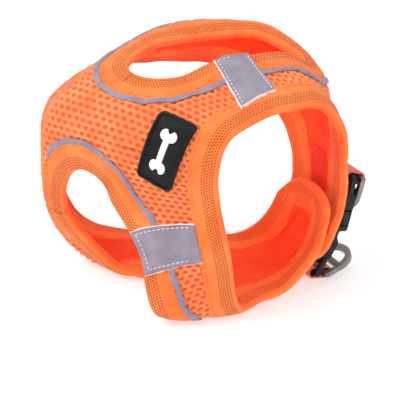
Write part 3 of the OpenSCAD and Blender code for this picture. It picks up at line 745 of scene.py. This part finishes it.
for name, side in (("neck_binding", 0), ("rear_binding", LAST_S)):
    t = np.linspace(FLAP_IN - 0.01, OUTER_IN + 0.01, 300)
    q = rim_pt(t[:, None], side, BOTH_W)
    V, faces, uv = tape_skin(q, BOTH_W, False)
    turn_in(piece(name + "_tape", V, faces, BINDING, (name,), "binding_orange", uv),
            len(BOTH_W), (len(t) - 1) * len(BOTH_W))

for name, O in (("leg_binding_upper", HOLE_UPPER), ("leg_binding_lower", HOLE_LOWER)):
    x = np.arange(0, len(O), 1 / 18)
    q = ring_pt(O, x[:, None], np.broadcast_to(BOTH_W, (len(x), len(BOTH_W))))
    V, faces, uv = tape_skin(q, BOTH_W, True)
    turn_in(piece(name + "_tape", V, faces, BINDING, (name,), "binding_orange", uv),
            len(BOTH_W), len(x) * len(BOTH_W))

END_L = 0.78           # stations from a bound end's seam to its fold
GUIDE_MM = 9.3         # spacing of the guides at the bound ends, in millimetres


def corner(d, r):
    """Share of the full reach, d millimetres from the side of an end with round corners."""
    return np.sqrt(np.clip(1 - (1 - np.clip(d / r, 0, 1)) ** 2, 0, 1))


def bound_end(name, t_in, way, rn, rr):
    """Tape round an end of the shell; rn and rr are the corner radii at neck and rear."""
    s = 2 - 2 * np.cos(np.linspace(0, math.pi, 90))
    f = 1 - BOTH_W[:, None] / TAPE_W
    near, far = s * GUIDE_MM, (LAST_S - s) * GUIDE_MM
    pull = 0.06 + 0.94 * np.minimum(corner(near, rn), corner(far, rr))
    w = np.minimum((1 - f) * TAPE_W * pull, np.minimum(near, far))
    q = np.stack([t_in + way * END_L * f * pull, np.broadcast_to(s, w.shape)], -1)
    lift = (bound(w) + pucker(S(q), w) * smooth(0.2, 2, w)) * BOTH_SIDE[:, None]
    P = surf(q, lift).transpose(1, 0, 2)
    V, faces = tube(P, False)
    u = along_edge(P[:, MEASURE_AT])
    uv = np.stack(np.broadcast_arrays(u[:, None], w.T), -1).reshape(-1, 2)
    turn_in(piece(name + "_tape", V, faces, BINDING, (name,), "binding_orange", uv),
            len(BOTH_W), (len(s) - 1) * len(BOTH_W))


bound_end("flap_end_binding", FLAP_IN, -1, 17, 17)
bound_end("outer_end_binding", OUTER_IN, 1, 10, 10)


# ---- piping ----------------------------------------------------------------------------------
PIPING_MID = 13.5      # from the leg hole's edge to the middle of the piping


def piping(name, O, a, b, seed):
    """Gathered cord beside the tape of the leg hole O, from outline point a to b."""
    x = np.linspace(a, b, int((b - a) * 26))
    line = S(ring_pt(O, x, np.full(len(x), 13.6)))
    u = along_edge(line)
    r = np.random.default_rng(seed)
    knots = np.cumsum(r.uniform(5, 11, 40))
    pinch = np.exp(-((u[:, None] - knots) / 0.55) ** 2).max(1)
    wide = 2.5 + 0.25 * np.sin(u / 3.1) - 0.85 * pinch
    mid = PIPING_MID + 0.3 * ripple(line, 9, seed)
    k = np.linspace(0, TAU, 18, endpoint=False)
    w = mid[:, None] + wide[:, None] / 2 * np.sign(np.cos(k)) * np.abs(np.cos(k)) ** 0.7
    end = smooth(-0.5, 6, np.minimum(u, u[-1] - u))
    h = 1.95 + 0.4 * end[:, None] + (0.66 - 0.4 * pinch)[:, None] * np.sin(k) + 0.16 * np.cos(k)
    q = ring_pt(O, x[:, None], w)
    P = surf(q, h)
    V, faces = tube(P, False)
    uv = np.stack(np.broadcast_arrays(u[:, None], w - 12), -1).reshape(-1, 2)
    piece(name + "_strip", V, faces, PIPING, (name,), "piping_grey", uv)


piping("piping_upper", HOLE_UPPER, 3.95, 16.75, 41)
piping("piping_lower", HOLE_LOWER, 7.45, 10.85, 42)
piping("piping_girth", HOLE_LOWER, 4.75, 7.1, 43)


# ---- side patches and their stitching ----------------------------------------------------------
PATCH_UPPER = np.array([[9.75, 0.2], [10.25, 0.97], [11.15, 0.95], [10.95, 0.25]])
PATCH_LOWER = np.array([[5.9, 0.3], [5.65, 0.95], [6.35, 0.95], [6.65, 0.25]])


def quad(C, u, v):
    u, v = np.broadcast_arrays(np.asarray(u, float), np.asarray(v, float))
    u, v = u[..., None], v[..., None]
    return (1 - u) * ((1 - v) * C[0] + v * C[1]) + u * ((1 - v) * C[3] + v * C[2])


def patch_size(C):
    P = S(quad(C, np.array([0, 1, 0.5, 0.5]), np.array([0.5, 0.5, 0, 1])))
    return np.linalg.norm(P[1] - P[0]), np.linalg.norm(P[3] - P[2])


def side_patch(name, C, pale, seed):
    """pale lists the raw edges: 'u0', 'u1', 'v0' or 'v1'."""
    lu, lv = patch_size(C)
    u = np.r_[0, 0.004, 0.02, np.linspace(0.05, 0.95, 44), 0.98, 0.996, 1]
    v = np.r_[0, 0.004, 0.02, np.linspace(0.05, 0.95, 34), 0.98, 0.996, 1]
    U, W = np.meshgrid(u, v, indexing="ij")
    away = {"u0": U * lu, "u1": (1 - U) * lu, "v0": W * lv, "v1": (1 - W) * lv}
    edge = np.minimum.reduce(list(away.values()))
    raw = np.minimum.reduce([away[k] for k in pale])
    fray = 0.008 * ripple(S(quad(C, U, W)), 3.2, seed) * (edge < 0.3)
    Q = quad(C, U + fray * (np.minimum(away["u0"], away["u1"]) < 0.3), W + fray)
    base = S(Q)
    high = 2.95 + 0.13 * ripple(base, 8, seed + 1) + 0.1 * ripple(base, 3.5, seed + 2)
    high = high + 0.25 * np.exp(-((edge - 0.5) / 0.5) ** 2) - 0.45 * smooth(0.25, 0, edge)
    high = high - 0.22 * np.exp(-((edge - 1.9) / 0.35) ** 2)
    V, faces = cloth(Q, 2.3, high)
    vv = np.where(raw < 0.75, -1.5, W * lv)
    uv = np.stack([U * lu, vv], -1).reshape(-1, 2)
    piece(name + "_cloth", V, faces, PATCH, (name,), "patch_grey", np.concatenate([uv, uv]))


side_patch("patch_upper", PATCH_UPPER, ("u0", "v0"), 51)
side_patch("patch_lower", PATCH_LOWER, ("u0", "u1"), 52)


def stitch_row(q, high, length, gap, thick, sag=0.12):
    """Thread stitches along the surface line q: short tapered strands that dip at both ends."""
    P = surf(q, np.full(len(q), high))
    N = normal(q)
    u = along_edge(P)
    V, faces = [], []
    for start in np.arange(gap * 0.6, u[-1] - length, length + gap):
        d = start + length * np.linspace(0, 1, 7)
        c = np.stack([np.interp(d, u, P[:, k]) for k in range(3)], -1)
        n = unit(np.stack([np.interp(d, u, N[:, k]) for k in range(3)], -1))
        along = unit(np.gradient(c, axis=0))
        side = np.cross(along, n)
        bow = np.sin(np.linspace(0, math.pi, 7))
        r = thick * (0.35 + 0.65 * np.sqrt(bow))
        c = c + n * (sag * (bow - 1))[:, None]
        k = np.linspace(0, TAU, 8, endpoint=False)
        ring = c[:, None] + r[:, None, None] * (side[:, None] * np.cos(k)[None, :, None]
                                                + n[:, None] * np.sin(k)[None, :, None])
        v, f = tube(ring, False)
        faces += [[x + len(V) * 56 for x in face] for face in f]
        V.append(v)
    return np.concatenate(V), faces


def joined(parts):
    """Points and faces of several (points, faces) pairs as one pair."""
    V, faces, total = [], [], 0
    for v, f in parts:
        faces += [[x + total for x in face] for face in f]
        V.append(v)
        total += len(v)
    return np.concatenate(V), faces


def patch_grid(C, n, m):
    """Grid of (u, v) over a patch, its size, and each point's distance from the nearest edge."""
    U, W = np.meshgrid(np.linspace(0, 1, n), np.linspace(0, 1, m), indexing="ij")
    lu, lv = patch_size(C)
    edge = np.minimum(np.minimum(U, 1 - U) * lu, np.minimum(W, 1 - W) * lv)
    return U, W, lu, lv, edge


def patch_line(C, u, v):
    return quad(C, np.linspace(*u, 60), np.linspace(*v, 60))


rows = []
for C, sides in ((PATCH_UPPER, (((0.08, 0.08), (0.06, 0.94)), ((0.92, 0.92), (0.06, 0.94)),
                                ((0.08, 0.5), (0.93, 0.93)))),
                 (PATCH_LOWER, (((0.1, 0.1), (0.2, 0.9)), ((0.1, 0.9), (0.9, 0.9)),
                                ((0.9, 0.9), (0.9, 0.08))))):
    rows += [stitch_row(patch_line(C, u, v), 3.14, 1.3, 0.75, 0.23) for u, v in sides]
piece("patch_stitches", *joined(rows), THREAD, ("patch_stitching",), "thread_white")

rows = []
for O in (HOLE_UPPER, HOLE_LOWER):
    x = np.linspace(0, len(O), 700)
    rows.append(stitch_row(ring_pt(O, x, np.full(len(x), SEWN_W)), 2.12, 1.9, 0.8, 0.16))
for side in (0, LAST_S):
    t = np.linspace(FLAP_IN + 0.75, OUTER_IN - 0.7, 900)
    rows.append(stitch_row(rim_pt(t, side, SEWN_W), 2.12, 1.9, 0.8, 0.16))
piece("binding_stitches", *joined(rows), SEAM, (), "binding_orange")


# ---- rubber label ------------------------------------------------------------------------------
LABEL = np.array([[7.35, 0.4], [7.65, 0.75], [8.95, 0.8], [8.95, 0.35]])
LABEL_LO = 2.1         # height of the label's underside


def rounded_loop(a, b, r, n=10, side=14):
    """Counter-clockwise outline of a rounded rectangle with half sides a and b."""
    k = np.linspace(0, math.pi / 2, n)
    arcs = []
    for turn, (sx, sy) in enumerate(((1, 1), (-1, 1), (-1, -1), (1, -1))):
        ang = k + turn * math.pi / 2
        arcs.append(np.stack([sx * (a - r) + r * np.cos(ang), sy * (b - r) + r * np.sin(ang)], -1))
    out = []
    for arc, after in zip(arcs, arcs[1:] + arcs[:1]):
        f = np.linspace(0, 1, side + 2)[1:-1, None]
        out += [arc, arc[-1] + (after[0] - arc[-1]) * f]
    return np.concatenate(out)


def on_label(xy):
    """Station and guide of a point given in millimetres from the label's middle."""
    lu, lv = patch_size(LABEL)
    return quad(LABEL, 0.5 + xy[..., 0] / lu, 0.5 + xy[..., 1] / lv)


def moulded(loops, replaced, name, material, slot):
    """Relief built from nested outlines (points, height); the last one is closed flat."""
    P = np.stack([surf(on_label(xy), np.full(len(xy), h)) for xy, h in loops])
    n, m = P.shape[:2]
    faces = cells(n, m, False, True).tolist()
    faces += [list(range(m)), [(n - 1) * m + j for j in range(m)]]
    piece(name, P.reshape(-1, 3), faces, material, replaced, slot, sharp=30)


LU, LV = (x / 2 for x in patch_size(LABEL))
# Section from the rim inwards, as (distance in, height): raised border, groove, bead, field.
profile = [(0, -0.2), (0, 0.6), (0, 1.5), (0.06, 1.72), (0.2, 1.86), (0.45, 1.92), (1, 1.92), (1.15, 1.86),
           (1.22, 1.75), (1.26, 1.4), (1.34, 1.34), (1.8, 1.33), (1.9, 1.42), (2.05, 1.42), (2.15, 1.33),
           (2.6, 1.32), (3.3, 1.32), (4, 1.32), (4.7, 1.32), (5.4, 1.32), (6.1, 1.32), (LV - 0.3, 1.32)]
moulded([(rounded_loop(LU - d, LV - d, min(max(2.2 - d, 0.4), 0.8 * (LV - d))), LABEL_LO + h)
         for d, h in profile], ("rubber_label",), "rubber_label_body", RUBBER, "rubber_black")


def bone():
    """Raised bone: a bar with two round knobs at each end, notched between them."""
    e = -np.cos(np.linspace(0, math.pi, 120))
    v = np.sin(np.linspace(-math.pi / 2, math.pi / 2, 25))
    reach, knob, bar = 8.4, 6.3, 1.3   # half length, knob's place along it, half the bar's width
    off = np.abs(e) * reach - knob
    half = np.maximum(bar, 1.5 + np.sqrt(np.clip(4.4 - off ** 2, 0, None)) * 0.98)
    half = np.where(np.abs(off) < 2.09, half, bar)
    E, W = np.meshgrid(e, v, indexing="ij")
    x = reach * E - np.sign(E) * bar * (1 - W * W) * smooth(0.75, 1, np.abs(E))
    xy = np.stack([x, W * half[:, None]], -1)
    rim = np.minimum((1 - np.abs(W)) * half[:, None], (1 - np.abs(E)) * reach)
    V, faces = cloth(on_label(xy), LABEL_LO + 1.2, LABEL_LO + 1.55 + 0.35 * np.sqrt(smooth(-0.02, 0.4, rim)))
    piece("label_emblem_bone", V, faces, EMBLEM, ("label_emblem",), "emblem_white")


bone()


# ---- hook and loop ---------------------------------------------------------------------------
def closure(name, C, low, high, face_up, material, slot):
    """Hook or loop patch, worn on the face that meets the other one."""
    U, W, lu, lv, edge = patch_grid(C, 60, 60)
    Q = quad(C, U, W)
    worn = 0.12 * np.abs(ripple(S(Q), 1.3, 61)) - 0.2 * np.exp(-((edge - 1.2) / 0.3) ** 2)
    worn = worn - 0.3 * smooth(0.3, 0, edge)
    V, faces = cloth(Q, low if face_up else low - worn, high + worn if face_up else high)
    uv = np.stack([U * lu, W * lv], -1).reshape(-1, 2)
    piece(name + "_tape", V, faces, material, (name,), slot, np.concatenate([uv, uv]))


closure("hook_patch", np.array([[14.1, 1.5], [14.1, 2.6], [16, 2.6], [16, 1.5]]), -2.8, -1.95, False,
        HOOK, "hook_orange")
closure("loop_patch", np.array([[1.4, 1.5], [1.4, 2.6], [1.8, 2.6], [1.8, 1.5]]), 1.95, 2.8, True,
        LOOP, "loop_orange")


# ---- buckle frame, webbing ---------------------------------------------------------------------
BEND = HOME + [35.7, 52.4, 20.5]       # where socket and plug meet
BUCKLE_TURN = -23                      # degrees about Z
SOCKET_TILT, PLUG_TILT = -14, -31      # degrees about the buckle's own X
LOOP_MID, WEB_T, WEB_W = 2.5, 1.0, 14.2


def at_bend(tilt, P):
    """Points of the buckle frame, tilted and set at the bend."""
    m = np.array(Matrix.Rotation(math.radians(BUCKLE_TURN), 3, "Z")
                 @ Matrix.Rotation(math.radians(tilt), 3, "X"))
    return np.asarray(P) @ m.T + BEND


def strap_section(w, t, n=6):
    """Flat strap section with rolled edges, as (across, thickness) pairs."""
    k = np.linspace(-90, 90, n)
    right = np.stack([w / 2 - t / 2 + t / 2 * np.cos(np.radians(k)), t / 2 * np.sin(np.radians(k))], -1)
    top = np.stack([np.linspace(w / 2 - t, -w / 2 + t, 12), np.full(12, t / 2)], -1)
    return np.concatenate([right, top, -right, -top])


def strap(path, wrap, tilt):
    """Strap swept along a (Y, Z) path in the buckle frame."""
    n = len(path)
    d = np.roll(path, -1, 0) - np.roll(path, 1, 0) if wrap else np.gradient(path, axis=0)
    d = d / np.linalg.norm(d, axis=1, keepdims=True)
    nrm = np.stack([-d[:, 1], d[:, 0]], -1)
    sec = strap_section(WEB_W, WEB_T)
    P = np.zeros((n, len(sec), 3))
    rib = 0.05 * np.sin(sec[:, 0] * TAU / 1.1)
    P[..., 0] = sec[:, 0]
    P[..., 1:] = path[:, None] + nrm[:, None] * (sec[:, 1] + rib * np.sign(sec[:, 1]))[None, :, None]
    V, faces = tube(P, wrap)
    u = along_edge(path)
    uv = np.stack(np.broadcast_arrays(u[:, None], sec[:, 0] + 8), -1).reshape(-1, 2)
    return at_bend(tilt, V), faces, uv


def stadium(a, b, r, n=18):
    """Closed path round two equal circles of radius r at a and b."""
    a, b = np.array(a, float), np.array(b, float)
    ang = math.atan2(b[1] - a[1], b[0] - a[0])
    k = np.linspace(-math.pi / 2, math.pi / 2, n)
    far = b + r * np.stack([np.cos(ang + k), np.sin(ang + k)], -1)
    near = a + r * np.stack([np.cos(ang + math.pi + k), np.sin(ang + math.pi + k)], -1)
    sides = [far[-1] + (near[0] - far[-1]) * f for f in (0.25, 0.5, 0.75)]
    back = [near[-1] + (far[0] - near[-1]) * f for f in (0.25, 0.5, 0.75)]
    return np.concatenate([far, sides, near, back])


def curve(points, n=30):
    P = np.array(points, float)
    P = np.concatenate([[2 * P[0] - P[1]], P, [2 * P[-1] - P[-2]]])
    x = np.linspace(1, len(P) - 2, n)
    i = np.minimum(x.astype(int), len(P) - 3)
    f = (x - i)[:, None]
    p0, p1, p2, p3 = P[i - 1], P[i], P[i + 1], P[i + 2]
    return 0.5 * (2 * p1 + (p2 - p0) * f + (2 * p0 - 5 * p1 + 4 * p2 - p3) * f * f
                  + (3 * p1 - p0 - 3 * p2 + p3) * f ** 3)


def webbing(name, tilt, bar, ring, tail, tab):
    """Loop round the buckle's bar and the ring's, the tail behind it, and the sewn-down tab."""
    parts = [strap(stadium((0, bar), ring, LOOP_MID), True, tilt), strap(curve(tail), False, tilt)]
    C = np.array(tab)
    U, W, lu, lv, edge = patch_grid(C, 30, 40)
    Vt, ft = cloth(quad(C, U, W), 2.25, 3.35 - 0.3 * smooth(0.4, 0, edge)
                   - 0.2 * np.exp(-((edge - 1.3) / 0.3) ** 2))
    uvt = np.stack([U * lu, W * lv], -1).reshape(-1, 2)
    parts.append((Vt, ft, np.concatenate([uvt, uvt])))
    V, faces = joined([(v, f) for v, f, _ in parts])
    piece(name + "_strap", V, faces, WEBBING, (name,), "webbing_coral",
          np.concatenate([w for _, _, w in parts]))


BAR_UP, BAR_DN = 26.6, 21.6
webbing("webbing_upper", SOCKET_TILT, BAR_UP, (5, BAR_UP - 0.5),
        [(-2.5, 25.6), (-3.4, 22.6), (-4.2, 18.6), (-4.7, 14.6)],
        [[14.9, 0.9], [14.9, 2.7], [15.45, 2.7], [15.45, 0.9]])
webbing("webbing_lower", PLUG_TILT, -BAR_DN, (6.2, -BAR_DN + 2.4),
        [(-2.4, -20.9), (-2.7, -19.6), (-2.9, -17), (-3, -15)],
        [[16.25, 1], [16.25, 2.6], [16.75, 2.6], [16.75, 1]])


# ---- hard parts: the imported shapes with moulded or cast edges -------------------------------
def softened(node, body, material, width):
    """Copy of a packed hard part with its edges rounded over."""
    bm = bmesh.new()
    bm.from_mesh(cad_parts[node].data)
    bmesh.ops.remove_doubles(bm, verts=bm.verts, dist=2e-6)
    bmesh.ops.dissolve_limit(bm, angle_limit=math.radians(0.6), verts=bm.verts, edges=bm.edges)
    me = bpy.data.meshes.new(node + "_shape")
    bm.to_mesh(me)
    bm.free()
    me.materials.clear()
    me.materials.append(material)
    me.polygons.foreach_set("use_smooth", [True] * len(me.polygons))
    ob = bpy.data.objects.new(node + "_shape", me)
    bpy.context.scene.collection.objects.link(ob)
    mod = ob.modifiers.new("edges", "BEVEL")
    mod.width = width * MM
    mod.segments = 3
    mod.limit_method = "ANGLE"
    mod.angle_limit = math.radians(38)
    mod.use_clamp_overlap = True
    mod.harden_normals = True
    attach(ob, body)
    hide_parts(node)


softened("d_ring_upper", "d_ring_upper", METAL, 0.7)
softened("d_ring_lower", "d_ring_lower", METAL, 0.7)
softened("buckle_female", "vest", PLASTIC, 0.5)
softened("buckle_male", "vest", PLASTIC, 0.4)
softened("release_arm_left", "release_arm_left", ARM_PLASTIC, 0.25)
softened("release_arm_right", "release_arm_right", ARM_PLASTIC, 0.25)


# ---- floor, light and camera ------------------------------------------------------------------
def floor_finish():
    f = Finish("floor_white", (0.62, 0.62, 0.62), 0.8, Specular_IOR_Level=0.1, Emission_Strength=0.5,
               Emission_Color=(1, 1, 1, 1))
    f.color(f.mix(f.noise(4), (0.61, 0.61, 0.61), (0.63, 0.63, 0.63)))
    return f.mat


FLOOR = 3   # half side, metres
me = bpy.data.meshes.new("floor")
me.from_pydata([(-FLOOR, -FLOOR, 0), (FLOOR, -FLOOR, 0), (FLOOR, FLOOR, 0), (-FLOOR, FLOOR, 0)], [],
               [(0, 1, 2, 3)])
me.materials.append(floor_finish())
floor = bpy.data.objects.new("floor", me)
bpy.context.scene.collection.objects.link(floor)

world = bpy.data.worlds.new("studio")
world.use_nodes = True
world.node_tree.nodes["Background"].inputs["Color"].default_value = (1, 1, 1, 1)
world.node_tree.nodes["Background"].inputs["Strength"].default_value = 0.72
bpy.context.scene.world = world


def softbox(name, at, size, watts):
    light = bpy.data.lights.new(name, "AREA")
    light.shape, light.size, light.energy = "DISK", size, watts
    ob = bpy.data.objects.new(name, light)
    ob.location = at
    ob.rotation_euler = (Vector((0, 0, 0.05)) - Vector(at)).to_track_quat("-Z", "Y").to_euler()
    bpy.context.scene.collection.objects.link(ob)


softbox("key", (-0.25, -0.55, 0.75), 0.5, 4.2)
softbox("fill", (0.7, -0.3, 0.45), 0.6, 1.6)
softbox("top", (0.0, 0.25, 0.95), 0.6, 0.8)

AZ, EL = math.radians(40), math.radians(24)
sight = Vector((-math.sin(AZ) * math.cos(EL), math.cos(AZ) * math.cos(EL), -math.sin(EL)))
cam = bpy.data.objects.new("camera", bpy.data.cameras.new("camera"))
cam.data.lens, cam.data.sensor_width = 110, 36
cam.data.shift_x, cam.data.shift_y = 0.0125, -0.07
TARGET, DISTANCE = Vector((0.0066, -0.0126, 0.0572)), 0.5314   # metres
cam.location = TARGET - sight * DISTANCE
cam.rotation_euler = sight.to_track_quat("-Z", "Y").to_euler()
cam.data.clip_start, cam.data.clip_end = 0.01, 20
bpy.context.scene.collection.objects.link(cam)
bpy.context.scene.camera = cam
bpy.context.scene.view_settings.view_transform = "Standard"
